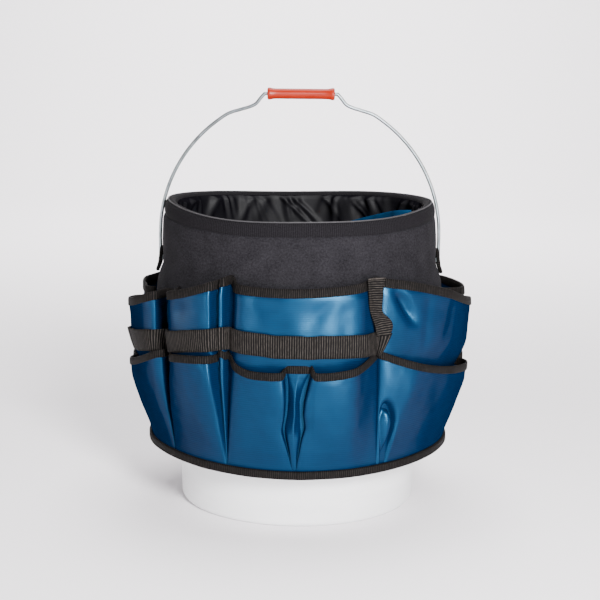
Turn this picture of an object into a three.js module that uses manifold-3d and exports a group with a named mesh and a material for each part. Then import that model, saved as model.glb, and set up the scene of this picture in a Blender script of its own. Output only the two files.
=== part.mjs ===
// Tool bucket organizer: a sewn fabric organizer that hangs over the rim of a 20 litre plastic bucket.
// Its outer skirt carries two rows of pockets and a webbing tool strap, its lining carries inner pockets,
// and the bucket's wire bail swings in two ear bosses and has a plastic grip that turns on the wire.
// Millimetres, +Z up. The origin is on the floor under the middle of the bucket, and the front faces -Y.
import * as THREE from "three";
import Module from "manifold-3d";
import { mergeVertices } from "three/addons/utils/BufferGeometryUtils.js";

const wasm = await Module();
wasm.setup();

// ---------------------------------------------------------------- driving dimensions
const RIM_Z = 347; // top of the cloth over the bucket's rim; heights of cloth are drops below it
const GAP = 0.3; // between pieces that touch face to face
const ROUND = 48; // segments of a round piece

const BUCKET = {
  top: 343,
  lipRadius: 152.5,
  lipHeight: 13,
  topRadius: 147,
  bottomRadius: 138.5,
  wall: 2.4,
  cornerRadius: 6,
  floor: 5.5,
  footHeight: 3,
  footInner: 124,
};
const RIBS = [
  { drop: 34, radius: 151.5, height: 4 },
  { drop: 84, radius: 151, height: 4 },
];
const EAR = { drop: 63, radius: 9.5, faceX: 158, boreRadius: 2.6, boreEndX: 149.5, windowRadius: 13.5 };
const BAIL = { legX: 163.5, wireRadius: 2, hookRadius: 5, hookEndX: 150.5, arcDrop: 33, gripRise: 130.5 };
const GRIP = { length: 78, radius: 6.2, collarRadius: 7.2, collar: 5, boreRadius: 2.5 };

const CLOTH = { cuff: 2.5, backing: 1.4, panel: 1.5, binding: 2.6, webbing: 1.8, liner: 1.2 };
const CUFF_TOP_DROP = 13; // height of the tape that binds the rim
const CUFF_SEAM_DROP = 112; // seam between cuff and skirt, behind the pockets
const TAPE = { upper: 10, lower: 9, hem: 9 }; // heights of the binding tapes
const STRAP_HEIGHT = 25;
const LINER = { bottomDrop: 240, hem: 8, wallGap: 0.8 };

// Drop below the rim at the front and at the sides, where the pockets hang lower.
const DROPS = {
  pocketTop: { front: 60, side: 106, power: 4 },
  lowerTop: { front: 146, side: 178, power: 4 },
  strapTop: { front: 114, side: 147, power: 4 },
  hem: { front: 279.5, side: 271, power: 2 },
};

// Outer radius of the cuff and skirt against the drop below the rim.
const SKIRT_PROFILE = [
  [0, 157],
  [40, 158.5],
  [62, 160.5],
  [84, 165],
  [112, 168],
  [150, 170],
  [280, 172],
];

// One half of the skirt, as angles from the front towards +X; the other half is the same, turned by 180 degrees.
// reach is the radius of a pocket's front at its mouth, lean holds it back at the pocket's first seam, and
// sag lowers the middle of its top edge. Each upper pocket lists the lower pockets sewn over it.
const UPPER_POCKETS = [
  { from: -88, to: -53.5, reach: 189, lean: 0, sag: 4, lower: [{ from: -88, to: -53.5, reach: 200.5 }] },
  { from: -53.5, to: -26.5, reach: 187, lean: 0, sag: 6, lower: [{ from: -53.5, to: -26.5, reach: 198 }] },
  {
    from: -26.5,
    to: 30.5,
    reach: 177,
    lean: 0,
    sag: 8,
    lower: [
      { from: -26.5, to: 0.5, reach: 188.5 },
      { from: 0.5, to: 30.5, reach: 188.5 },
    ],
  },
  { from: 30.5, to: 92, reach: 191, lean: 0.4, sag: 2, lower: [{ from: 30.5, to: 92, reach: 201.5 }] },
];
const LOWER_SAG = 7;
const WIDE_POCKET = 40; // degrees
const INSET = { upper: 1.7, lower: 0.6 }; // degrees between a pocket's edge and its seam
const LIFT = { upper: 1.8, lower: 3.9, strap: 4.1 }; // radial stand-off of each layer's middle at the seams
const FILL = 0.75; // share of the height over which a pocket swells out
const STRAP_DIP = 1.5; // how far the strap stays off the pockets' edges where it is stitched down

// Inner pockets on the lining: the tall one is a sleeve, and its mouth shows above the others.
const INNER_POCKETS = [
  { name: "inner_pocket_front", from: -25, to: 45, topDrop: 52, depth: 17 },
  { name: "inner_pocket_right", from: 45, to: 100, topDrop: 46, depth: 18 },
  { name: "inner_sleeve_back_right", from: 100, to: 155, topDrop: 20, depth: 20 },
  { name: "inner_pocket_back", from: 155, to: 215, topDrop: 46, depth: 18 },
  { name: "inner_pocket_back_left", from: 215, to: 275, topDrop: 46, depth: 18 },
  { name: "inner_pocket_front_left", from: 275, to: 335, topDrop: 52, depth: 17 },
];
const INNER_BOTTOM_DROP = 212;
const INNER_INSET = 0.8; // degrees

const MATERIALS = {
  bucket: new THREE.MeshStandardMaterial({ color: 0xe2e2e2, roughness: 0.45, metalness: 0 }),
  steel: new THREE.MeshStandardMaterial({ color: 0xc4cacd, roughness: 0.25, metalness: 1 }),
  grip: new THREE.MeshStandardMaterial({ color: 0xe85a35, roughness: 0.35, metalness: 0 }),
  cuff: new THREE.MeshStandardMaterial({ color: 0x232227, roughness: 0.9, metalness: 0 }),
  lining: new THREE.MeshStandardMaterial({ color: 0x1b191f, roughness: 0.5, metalness: 0 }),
  pocket: new THREE.MeshStandardMaterial({ color: 0x235c8f, roughness: 0.55, metalness: 0 }),
  webbing: new THREE.MeshStandardMaterial({ color: 0x2b2625, roughness: 0.85, metalness: 0 }),
};

// ---------------------------------------------------------------- helpers
const rad = THREE.MathUtils.degToRad;
const model = new THREE.Group();

function addPiece(name, geometry, material) {
  const mesh = new THREE.Mesh(geometry, material);
  mesh.name = name;
  model.add(mesh);
}

// A point at an angle from the front (degrees, towards +X), a radius and a height.
function polar(angle, radius, z) {
  return new THREE.Vector3(radius * Math.sin(rad(angle)), -radius * Math.cos(rad(angle)), z);
}

// Height of one of the lines in DROPS at an angle round the skirt.
function lineHeight(line, angle) {
  const share = Math.abs(Math.sin(rad(angle))) ** line.power;
  return RIM_Z - line.front - (line.side - line.front) * share;
}

function skirtRadius(z) {
  const drop = THREE.MathUtils.clamp(RIM_Z - z, 0, SKIRT_PROFILE.at(-1)[0]);
  const upper = SKIRT_PROFILE.findIndex(([d]) => d >= drop);
  if (upper <= 0) return SKIRT_PROFILE[0][1];
  const [d0, r0] = SKIRT_PROFILE[upper - 1];
  const [d1, r1] = SKIRT_PROFILE[upper];
  return THREE.MathUtils.mapLinear(drop, d0, d1, r0, r1);
}

function bucketRadius(z) {
  return THREE.MathUtils.mapLinear(z, BUCKET.cornerRadius, BUCKET.top, BUCKET.bottomRadius, BUCKET.topRadius);
}

function linerRadius(z) {
  return bucketRadius(z) - BUCKET.wall - LINER.wallGap;
}

// Moves every vertex of a geometry to the place that move(x, y, z) returns.
function reshape(geometry, move) {
  const position = geometry.attributes.position;
  for (let i = 0; i < position.count; i++) {
    const p = move(position.getX(i), position.getY(i), position.getZ(i));
    position.setXYZ(i, p.x, p.y, p.z);
  }
  return geometry;
}

// A lathe geometry about Z from a closed outline of [radius, z] points.
function turned(outline, segments = ROUND) {
  const points = outline.map(([r, z]) => new THREE.Vector2(r, z));
  points.push(points[0].clone());
  return new THREE.LatheGeometry(points, segments).rotateX(Math.PI / 2);
}

// A cloth panel: middle(across, up) gives its middle surface, 0 to 1 each way, and the cloth is thickened
// along the outward normal of that surface seen from above, taken over a step either side.
function clothPanel(across, up, thickness, middle, step = 0.01) {
  return reshape(new THREE.BoxGeometry(1, 1, 1, across, 1, up), (x, y, z) => {
    const u = x + 0.5;
    const v = z + 0.5;
    const before = middle(Math.max(u - step, 0), v);
    const after = middle(Math.min(u + step, 1), v);
    const normal = new THREE.Vector3(after.y - before.y, before.x - after.x, 0).normalize();
    return middle(u, v).addScaledVector(normal, -y * thickness);
  });
}

function toSolid(geometry) {
  const bare = geometry.clone();
  bare.deleteAttribute("normal");
  bare.deleteAttribute("uv");
  const merged = mergeVertices(bare, 1e-4);
  return new wasm.Manifold(
    new wasm.Mesh({
      numProp: 3,
      vertProperties: merged.attributes.position.array,
      triVerts: new Uint32Array(merged.index.array),
    }),
  );
}

function toGeometry(solid) {
  const mesh = solid.getMesh();
  const geometry = new THREE.BufferGeometry();
  geometry.setAttribute("position", new THREE.BufferAttribute(mesh.vertProperties, 3));
  geometry.setIndex(new THREE.BufferAttribute(mesh.triVerts, 1));
  return geometry;
}

// A cylinder whose axis is X, between two values of x, at the ear's height.
function earCylinder(radius, x0, x1, segments) {
  const cylinder = new THREE.CylinderGeometry(radius, radius, Math.abs(x1 - x0), segments);
  return cylinder.rotateZ(Math.PI / 2).translate((x0 + x1) / 2, 0, RIM_Z - EAR.drop);
}

// ---------------------------------------------------------------- bucket
function ribOutline({ drop, radius, height }) {
  const z = RIM_Z - drop;
  return [
    [bucketRadius(z - height / 2), z - height / 2],
    [radius, z - height / 2 + 0.5],
    [radius, z + height / 2 - 0.5],
    [bucketRadius(z + height / 2), z + height / 2],
  ];
}

function bucketShell() {
  const { top, lipRadius, lipHeight, bottomRadius, wall, cornerRadius, floor, footHeight, footInner } = BUCKET;
  const corner = [];
  for (let i = 0; i <= 3; i++) {
    const turn = (i / 3) * (Math.PI / 2);
    const r = bottomRadius - cornerRadius * (1 - Math.sin(turn));
    corner.push([r, cornerRadius * (1 - Math.cos(turn))]);
  }
  const lipBottom = top - lipHeight;
  const outline = [
    [0, footHeight],
    [footInner - 2, footHeight],
    [footInner, 0],
    ...corner,
    ...ribOutline(RIBS[1]),
    ...ribOutline(RIBS[0]),
    [bucketRadius(lipBottom), lipBottom],
    [lipRadius, lipBottom],
    [lipRadius, top - 2],
    [lipRadius - 2, top],
    [bucketRadius(top) - wall, top],
    [bucketRadius(floor + 3) - wall, floor + 3],
    [bucketRadius(floor) - wall - 3, floor],
    [0, floor],
  ];
  let solid = toSolid(turned(outline));
  for (const side of [-1, 1]) {
    const wallX = bucketRadius(RIM_Z - EAR.drop) - wall / 2;
    const boss = toSolid(earCylinder(EAR.radius, side * wallX, side * EAR.faceX, 24));
    const bore = toSolid(earCylinder(EAR.boreRadius, side * EAR.boreEndX, side * (EAR.faceX + 2), 16));
    solid = solid.add(boss).subtract(bore);
  }
  return toGeometry(solid);
}

// ---------------------------------------------------------------- bail and grip
// One half of the wire's centreline, from the middle of the grip to the end in the ear's bore, for x >= 0.
function bailHalf() {
  const { legX, hookRadius, hookEndX, arcDrop, gripRise } = BAIL;
  const points = [
    [0, gripRise],
    [20, gripRise],
    [40, gripRise],
    [43, gripRise - 1],
    [47, gripRise - 5.5],
    [52.5, gripRise - 12],
    [60, gripRise - 15.6],
    [70, gripRise - 18.6],
  ];
  const arcStart = 31; // degrees from the top, where the round part begins
  for (let turn = arcStart; turn <= 90; turn += 59 / 10) {
    points.push([legX * Math.sin(rad(turn)), legX * Math.cos(rad(turn)) - arcDrop]);
  }
  const pivot = -EAR.drop;
  points.push([legX, (pivot + hookRadius - arcDrop) / 2]);
  for (let turn = 0; turn <= 90; turn += 30) {
    const x = legX - hookRadius * (1 - Math.cos(rad(turn)));
    points.push([x, pivot + hookRadius * (1 - Math.sin(rad(turn)))]);
  }
  points.push([hookEndX, pivot]);
  return points.map(([x, rise]) => new THREE.Vector3(x, 0, RIM_Z + rise));
}

function bailWire() {
  const half = bailHalf();
  const mirrored = half.slice(1).map((p) => new THREE.Vector3(-p.x, p.y, p.z));
  const path = new THREE.CatmullRomCurve3([...mirrored.reverse(), ...half], false, "centripetal");
  const section = new THREE.Shape().absarc(0, 0, BAIL.wireRadius, 0, Math.PI * 2, false);
  return new THREE.ExtrudeGeometry(section, { steps: 100, curveSegments: 8, extrudePath: path });
}

function bailGrip() {
  const { length, radius, collarRadius, collar, boreRadius } = GRIP;
  const end = length / 2;
  const outline = [
    [boreRadius, -end],
    [collarRadius - 1, -end],
    [collarRadius, 1 - end],
    [collarRadius, collar - end],
    [radius, collar + 3 - end],
    [radius, end - collar - 3],
    [collarRadius, end - collar],
    [collarRadius, end - 1],
    [collarRadius - 1, end],
    [boreRadius, end],
  ];
  return turned(outline, 20)
    .rotateY(Math.PI / 2)
    .translate(0, 0, RIM_Z + BAIL.gripRise);
}

// ---------------------------------------------------------------- rim tape, cuff, skirt, hem
function rimBinding() {
  const outer = SKIRT_PROFILE[0][1];
  const bottom = RIM_Z - CUFF_TOP_DROP;
  const inner = linerRadius(bottom) - CLOTH.cuff;
  const under = RIM_Z - 3;
  const bend = 3;
  return turned([
    [outer - CLOTH.cuff, bottom],
    [outer, bottom],
    [outer, RIM_Z - bend],
    [outer - bend, RIM_Z],
    [inner + bend, RIM_Z],
    [inner, RIM_Z - bend],
    [inner, bottom],
    [inner + CLOTH.cuff, bottom],
    [inner + CLOTH.cuff, under],
    [outer - CLOTH.cuff, under],
  ]);
}

// A wall of cloth on the skirt's profile, between two drops below the rim.
function skirtWall(topDrop, bottomDrop, thickness) {
  const between = SKIRT_PROFILE.map(([d]) => d).filter((d) => d > topDrop && d < bottomDrop);
  const outside = [topDrop, ...between, bottomDrop].map((d) => [skirtRadius(RIM_Z - d), RIM_Z - d]);
  const inside = outside.map(([r, z]) => [r - thickness, z]);
  return turned([...outside.reverse(), ...inside]);
}

function outerCuff() {
  let solid = toSolid(skirtWall(CUFF_TOP_DROP + GAP, CUFF_SEAM_DROP, CLOTH.cuff));
  for (const side of [-1, 1]) {
    solid = solid.subtract(toSolid(earCylinder(EAR.windowRadius, side * 140, side * 175, 24)));
  }
  return toGeometry(solid);
}

// The skirt hangs straight down from the cuff's seam, and its lower edge follows the hem.
function skirtBacking() {
  const topDrop = CUFF_SEAM_DROP + GAP;
  const bottomDrop = DROPS.hem.front - TAPE.hem - GAP;
  return reshape(skirtWall(topDrop, bottomDrop, CLOTH.backing), (x, y, z) => {
    const angle = THREE.MathUtils.radToDeg(Math.atan2(x, -y));
    const edge = lineHeight(DROPS.hem, angle) + TAPE.hem + GAP;
    const top = RIM_Z - topDrop;
    return new THREE.Vector3(x, y, THREE.MathUtils.mapLinear(z, RIM_Z - bottomDrop, top, edge, top));
  });
}

function hemBinding() {
  const outer = SKIRT_PROFILE.at(-1)[1] + LIFT.lower + CLOTH.panel;
  const inner = SKIRT_PROFILE.at(-1)[1] - CLOTH.backing - 1;
  const outline = [
    [inner, 1],
    [inner + 1, 0],
    [outer - 1, 0],
    [outer, 1],
    [outer, TAPE.hem],
    [inner, TAPE.hem],
  ];
  return reshape(turned(outline), (x, y, z) => {
    const angle = THREE.MathUtils.radToDeg(Math.atan2(x, -y));
    return new THREE.Vector3(x, y, z + lineHeight(DROPS.hem, angle));
  });
}

// The bound edge of the window that the bucket's ear comes out through.
function earWindowBinding(side) {
  const inside = EAR.windowRadius - 2.4;
  const outside = EAR.windowRadius - GAP;
  const from = 155.2;
  const to = 160.8;
  const ring = turned(
    [
      [inside, from],
      [outside, from],
      [outside, to - 0.8],
      [outside - 0.8, to],
      [inside + 0.8, to],
      [inside, to - 0.8],
    ],
    24,
  );
  return ring.rotateY((side * Math.PI) / 2).translate(0, 0, RIM_Z - EAR.drop);
}

// ---------------------------------------------------------------- pockets on the skirt
// How far a pocket stands out across its width: 0 at both edges, with round shoulders and a broad flat middle.
function shoulders(share) {
  if (share <= 0 || share >= 1) return 0;
  return (1 - Math.abs(2 * share - 1) ** 4) ** (2 / 3);
}

// How far a pocket has swelled out at a share of its height: it fills up to `full` and then stays.
function fill(height, full) {
  const x = Math.max(height, 0) / full;
  return x / (1 + x ** 6) ** (1 / 6);
}

function shareAcross(from, to, inset, angle) {
  return (angle - from - inset) / (to - from - 2 * inset);
}

// Radius of a pocket's front at a height, where it stands furthest out, from the hem up to the pocket's top line.
function frontRadius(reach, topLine, angle, z) {
  const hem = lineHeight(DROPS.hem, angle) + TAPE.hem;
  const height = (z - hem) / (lineHeight(topLine, angle) - hem);
  const foot = SKIRT_PROFILE.at(-1)[1];
  return foot + (reach - foot) * fill(height, FILL);
}

// How far an upper pocket's front stands off the skirt where it stands furthest out.
function upperDepth(pocket, share, angle, z) {
  const held = 1 - pocket.lean * (1 - THREE.MathUtils.clamp(share, 0, 1));
  const front = frontRadius(pocket.reach, DROPS.pocketTop, angle, z);
  return Math.max(front - skirtRadius(z) - LIFT.upper, 0) * held;
}

function upperRadius(pocket, angle, z, inset = INSET.upper) {
  const share = shareAcross(pocket.from, pocket.to, inset, angle);
  return skirtRadius(z) + LIFT.upper + upperDepth(pocket, share, angle, z) * shoulders(share);
}

// A lower pocket starts from the upper pocket that it is sewn over.
function lowerRadius(pocket, lower, angle, z) {
  const base = upperRadius(pocket, angle, z, INSET.lower) + LIFT.lower - LIFT.upper;
  const front = frontRadius(lower.reach, DROPS.lowerTop, angle, z);
  return base + Math.max(front - base, 0) * shoulders(shareAcross(lower.from, lower.to, INSET.lower, angle));
}

// Angle at a share of the way across, with the steps closest together at the two edges.
function angleAcross(from, to, inset, across) {
  const share = (1 - Math.cos(Math.PI * across)) / 2;
  return from + inset + share * (to - from - 2 * inset);
}

// A pocket's panel or its binding: radiusAt(angle, z), between two height functions of the angle, with the
// steps closest together at the top.
function pocketCloth(from, to, inset, across, up, thickness, bottomAt, topAt, radiusAt) {
  return clothPanel(across, up, thickness, (u, v) => {
    const angle = angleAcross(from, to, inset, u);
    const z = THREE.MathUtils.lerp(bottomAt(angle), topAt(angle), Math.sin((v * Math.PI) / 2));
    return polar(angle, radiusAt(angle, z), z);
  });
}

function addPocket(name, from, to, inset, tape, topLine, sag, radiusAt, turnBy) {
  const across = to - from > WIDE_POCKET ? 14 : 10;
  const share = (angle) => shareAcross(from, to, inset, angle);
  const edge = (angle) => lineHeight(topLine, angle) - sag * (1 - Math.abs(2 * share(angle) - 1) ** 3);
  const bottom = (angle) => lineHeight(DROPS.hem, angle) + TAPE.hem + GAP;
  const underTape = (angle) => edge(angle) - tape;
  const cloth = pocketCloth(from, to, inset, across, 5, CLOTH.panel, bottom, (a) => underTape(a) - GAP, radiusAt);
  const band = pocketCloth(from, to, inset, across, 1, CLOTH.binding, underTape, edge, radiusAt);
  addPiece(name, cloth.rotateZ(rad(turnBy)), MATERIALS.pocket);
  addPiece(name + "_binding", band.rotateZ(rad(turnBy)), MATERIALS.webbing);
}

// ---------------------------------------------------------------- webbing
// The tool strap lies across three upper pockets and is stitched down at their seams.
const STRAPPED = UPPER_POCKETS.slice(0, 3);
const STRAP_COLUMNS = 30;
const STRAP_NORMAL_SPAN = 1 / 24; // share of its length either side that gives its normal, wide at the seams' folds

function strapRadius(pocket, angle, z) {
  const share = shareAcross(pocket.from, pocket.to, 0, angle);
  const broad = Math.max(1 - Math.abs(2 * share - 1) ** 8, 0) ** (1 / 3);
  const depth = upperDepth(pocket, share, angle, z);
  return skirtRadius(z) + LIFT.strap + STRAP_DIP + (depth - STRAP_DIP) * broad;
}

function toolStrap() {
  const middle = (u, v) => {
    const along = Math.min(u, 0.9999) * STRAPPED.length;
    const pocket = STRAPPED[Math.floor(along)];
    const angle = angleAcross(pocket.from, pocket.to, 0, along % 1);
    const z = lineHeight(DROPS.strapTop, angle) - STRAP_HEIGHT * (1 - v);
    return polar(angle, strapRadius(pocket, angle, z), z);
  };
  return clothPanel(STRAP_COLUMNS, 2, CLOTH.webbing, middle, STRAP_NORMAL_SPAN);
}

// The strap's tail hangs from the upper binding beside the strap's end: [angle, drop below the rim] down its middle.
const TAIL_ROUTE = [
  [31.5, 62],
  [30.5, 78],
  [29, 92],
  [33, 104],
  [31, 112],
];
const TAIL_HALF_WIDTH = 3.4; // degrees

// It bridges the seam between the last two pockets, at the radius where it clears both.
function strapTail() {
  const [before, after] = UPPER_POCKETS.slice(2);
  const route = new THREE.CatmullRomCurve3(TAIL_ROUTE.map(([a, drop]) => new THREE.Vector3(a, 0, RIM_Z - drop)));
  return clothPanel(2, 8, CLOTH.webbing, (u, v) => {
    const middle = route.getPoint(1 - v);
    const leftCloth = upperRadius(before, middle.x - TAIL_HALF_WIDTH, middle.z);
    const rightCloth = upperRadius(after, middle.x + TAIL_HALF_WIDTH, middle.z);
    const radius = Math.max(leftCloth, rightCloth) + (CLOTH.binding + CLOTH.webbing) / 2 + 2 * GAP;
    return polar(middle.x + (2 * u - 1) * TAIL_HALF_WIDTH, radius, middle.z);
  });
}

// ---------------------------------------------------------------- lining
function innerLiner() {
  const top = RIM_Z - CUFF_TOP_DROP - GAP;
  const bottom = RIM_Z - LINER.bottomDrop + GAP;
  return turned([
    [linerRadius(bottom), bottom],
    [linerRadius(top), top],
    [linerRadius(top) - CLOTH.liner, top],
    [linerRadius(bottom) - CLOTH.liner, bottom],
  ]);
}

function linerHem() {
  const top = RIM_Z - LINER.bottomDrop;
  const bottom = top - LINER.hem;
  const outer = linerRadius(bottom);
  return turned([
    [outer - CLOTH.binding, bottom],
    [outer, bottom],
    [outer, top],
    [outer - CLOTH.binding, top],
  ]);
}

function innerPocket({ from, to, topDrop, depth }) {
  const bottom = RIM_Z - INNER_BOTTOM_DROP;
  const top = RIM_Z - topDrop;
  const radiusAt = (angle, z) => {
    const share = shareAcross(from, to, INNER_INSET, angle);
    const swell = depth * fill((z - bottom) / (top - bottom), FILL) * shoulders(share);
    return linerRadius(z) - CLOTH.liner - LIFT.upper - swell;
  };
  return pocketCloth(from, to, INNER_INSET, 12, 3, CLOTH.panel, () => bottom, () => top, radiusAt);
}

// ---------------------------------------------------------------- assembly
addPiece("bucket_shell", bucketShell(), MATERIALS.bucket);
addPiece("bail_wire", bailWire(), MATERIALS.steel);
addPiece("bail_grip", bailGrip(), MATERIALS.grip);
addPiece("rim_binding", rimBinding(), MATERIALS.webbing);
addPiece("outer_cuff", outerCuff(), MATERIALS.cuff);
addPiece("ear_window_binding_left", earWindowBinding(-1), MATERIALS.webbing);
addPiece("ear_window_binding_right", earWindowBinding(1), MATERIALS.webbing);
addPiece("skirt_backing", skirtBacking(), MATERIALS.cuff);
addPiece("hem_binding", hemBinding(), MATERIALS.webbing);
addPiece("inner_liner", innerLiner(), MATERIALS.lining);
addPiece("liner_hem", linerHem(), MATERIALS.webbing);

const HALVES = [
  { end: "front", turnBy: 0 },
  { end: "back", turnBy: 180 },
];
for (const { end, turnBy } of HALVES) {
  let lowerCount = 0;
  UPPER_POCKETS.forEach((pocket, i) => {
    const { from, to, sag, lower } = pocket;
    const upperAt = (angle, z) => upperRadius(pocket, angle, z);
    const upperName = `upper_pocket_${end}_${i + 1}`;
    addPocket(upperName, from, to, INSET.upper, TAPE.upper, DROPS.pocketTop, sag, upperAt, turnBy);
    for (const own of lower) {
      const lowerAt = (angle, z) => lowerRadius(pocket, own, angle, z);
      lowerCount += 1;
      const lowerName = `lower_pocket_${end}_${lowerCount}`;
      addPocket(lowerName, own.from, own.to, INSET.lower, TAPE.lower, DROPS.lowerTop, LOWER_SAG, lowerAt, turnBy);
    }
  });
  addPiece(`tool_strap_${end}`, toolStrap().rotateZ(rad(turnBy)), MATERIALS.webbing);
  addPiece(`strap_tail_${end}`, strapTail().rotateZ(rad(turnBy)), MATERIALS.webbing);
}
for (const pocket of INNER_POCKETS) {
  addPiece(pocket.name, innerPocket(pocket), MATERIALS.pocket);
}

export default model;
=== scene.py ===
"""Looks of the tool bucket organizer: sewn pockets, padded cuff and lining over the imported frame.

Shapes are worked out in millimetres and turned into metres as each mesh is made. Cloth is laid out by an
angle from the front (degrees, towards +X), a drop below the rim and a stand-off from the skirt.
"""

import math

import bpy
import numpy as np
from mathutils import Matrix, Vector


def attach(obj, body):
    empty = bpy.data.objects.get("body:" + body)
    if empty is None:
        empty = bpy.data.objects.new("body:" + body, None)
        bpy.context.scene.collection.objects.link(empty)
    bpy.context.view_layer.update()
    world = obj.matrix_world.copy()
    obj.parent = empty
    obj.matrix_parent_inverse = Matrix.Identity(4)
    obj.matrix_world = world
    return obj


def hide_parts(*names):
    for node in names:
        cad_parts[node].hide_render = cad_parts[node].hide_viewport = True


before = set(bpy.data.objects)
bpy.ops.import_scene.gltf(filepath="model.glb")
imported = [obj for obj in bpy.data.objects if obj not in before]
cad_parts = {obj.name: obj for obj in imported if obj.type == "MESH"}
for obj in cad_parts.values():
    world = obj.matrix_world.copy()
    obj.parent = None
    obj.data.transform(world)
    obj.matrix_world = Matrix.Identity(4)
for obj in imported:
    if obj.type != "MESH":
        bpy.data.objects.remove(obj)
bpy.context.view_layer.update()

MM = 0.001
RIM = 347.0  # height of the rim over the floor
ROOT = "bucket_and_organizer"

# ---- mesh helpers


def polar(angle, radius, z):
    """Points in millimetres at angles from the front."""
    a = np.radians(angle)
    return np.stack([radius * np.sin(a), -radius * np.cos(a), z + 0 * a], -1)


def make_object(name, verts, faces, uvs, material, body=ROOT):
    """A mesh object from millimetre vertices, faces and one UV pair (millimetres) per face corner."""
    mesh = bpy.data.meshes.new(name)
    mesh.from_pydata((np.asarray(verts) * MM).tolist(), [], faces)
    if uvs is not None:
        layer = mesh.uv_layers.new(name="UVMap")
        layer.data.foreach_set("uv", (np.asarray(uvs, dtype=np.float32) * MM).ravel())
    mesh.polygons.foreach_set("use_smooth", [True] * len(mesh.polygons))
    mesh.materials.append(material)
    mesh.update()
    obj = bpy.data.objects.new(name, mesh)
    bpy.context.scene.collection.objects.link(obj)
    if body:
        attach(obj, body)
    return obj


def grid_faces(rows, cols, wrap):
    """Quads of a grid, and the (row, column) of each of their corners, with the last column unwrapped."""
    r, c = np.meshgrid(np.arange(rows - 1), np.arange(cols if wrap else cols - 1), indexing="ij")
    r, c = r.ravel(), c.ravel()
    corner_r = np.stack([r, r, r + 1, r + 1], 1)
    corner_c = np.stack([c, c + 1, c + 1, c], 1)
    return corner_r * cols + corner_c % cols, corner_r, corner_c


def thicken(obj, thickness, offset):
    """Cloth of a thickness in millimetres; offset -1 grows it inwards, 0 both ways, 1 outwards."""
    solid = obj.modifiers.new("thickness", "SOLIDIFY")
    solid.thickness = thickness * MM
    solid.offset = offset


def grid_object(name, points, material, u, v, thickness, wrap=False, keep=None, offset=-1.0):
    """A sheet from a grid of points: rows upwards, columns towards +angle, u per column, v per point."""
    rows, cols = points.shape[:2]
    faces, cr, cc = grid_faces(rows, cols, wrap)
    if keep is not None:
        chosen = keep[cr[:, 0], cc[:, 0]]
        faces, cr, cc = faces[chosen], cr[chosen], cc[chosen]
    uvs = np.stack([u[cc], v[cr, cc % cols]], -1).reshape(-1, 2)
    obj = make_object(name, points.reshape(-1, 3), faces.tolist(), uvs, material)
    thicken(obj, thickness, offset)
    return obj


def arc_length(points):
    """Distance along a line of points, from its start."""
    steps = np.linalg.norm(np.diff(points, axis=0), axis=1)
    return np.concatenate([[0.0], np.cumsum(steps)])


def upward(count):
    return np.tile([0.0, 0.0, 1.0], (count, 1))


def circle(radius, steps):
    """A closed round section, counter-clockwise."""
    turns = np.linspace(0, 2 * math.pi, steps, endpoint=False)
    return [(radius * math.cos(a), radius * math.sin(a)) for a in turns]


def carried(section, places, along, skip=()):
    """Quads and UVs of a closed section carried along places, and the lengths round the section."""
    k = len(section)
    girth = arc_length(np.vstack([section, section[:1]]))
    faces, uvs = [], []
    for i in range(len(along) - 1):
        for j in range(k):
            if j in skip:
                continue
            a, b, jj = i, (i + 1) % places, (j + 1) % k
            faces.append((a * k + j, b * k + j, b * k + jj, a * k + jj))
            u0, u1, v0, v1 = along[i], along[i + 1], girth[j], girth[j + 1]
            uvs += [(u0, v0), (u1, v0), (u1, v1), (u0, v1)]
    return faces, uvs, girth


def swept(name, path, out, up, section, material, closed=False, body=ROOT):
    """A solid swept along a path; its section is a closed outline of (outward, upward) offsets."""
    path, out, up = (np.asarray(x, float) for x in (path, out, up))
    section = np.asarray(section, float)
    n, k = len(path), len(section)
    points = path[:, None] + out[:, None] * section[None, :, :1] + up[:, None] * section[None, :, 1:]
    along = arc_length(np.vstack([path, path[:1]]) if closed else path)
    faces, uvs, girth = carried(section, n, along)
    if not closed:
        faces.append(tuple(range(k)))
        uvs += [(0, v) for v in girth[:-1]]
        last = (n - 1) * k
        faces.append(tuple(last + j for j in reversed(range(k))))
        uvs += [(along[-1], v) for v in girth[:-1][::-1]]
    return make_object(name, points.reshape(-1, 3), faces, uvs, material, body)


def lathe(name, outline, material, segments=128, body=ROOT, matrix=None):
    """A turned solid from a closed outline of (radius, z), about Z."""
    outline = np.asarray(outline, float)
    angle = np.arange(segments + 1) * 360.0 / segments
    out = polar(angle[:-1], np.ones(segments), 0.0)
    points = out[:, None] * outline[None, :, :1] + upward(segments)[:, None] * outline[None, :, 1:]
    on_axis = np.flatnonzero((outline[:, 0] == 0) & (np.roll(outline[:, 0], -1) == 0))
    faces, uvs, _ = carried(outline, segments, np.radians(angle) * outline[:, 0].max(), on_axis)
    verts = points.reshape(-1, 3)
    if matrix is not None:
        verts = verts @ np.array(matrix.to_3x3()).T + np.array(matrix.translation)
    obj = make_object(name, verts, faces, uvs, material, body)
    weld = obj.modifiers.new("weld", "WELD")
    weld.merge_threshold = 1e-6
    return obj


def bspline(control, count):
    """Clamped cubic B-spline of the control points on the second last axis."""
    c = np.concatenate([control[..., :1, :]] * 2 + [control] + [control[..., -1:, :]] * 2, axis=-2)
    spans = c.shape[-2] - 3
    t = np.linspace(0, spans, count)
    i = np.minimum(t.astype(int), spans - 1)
    f = (t - i)[:, None]
    b = [(1 - f) ** 3, 3 * f**3 - 6 * f**2 + 4, -3 * f**3 + 3 * f**2 + 3 * f + 1, f**3]
    return sum(c[..., i + k, :] * b[k] for k in range(4)) / 6


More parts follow.
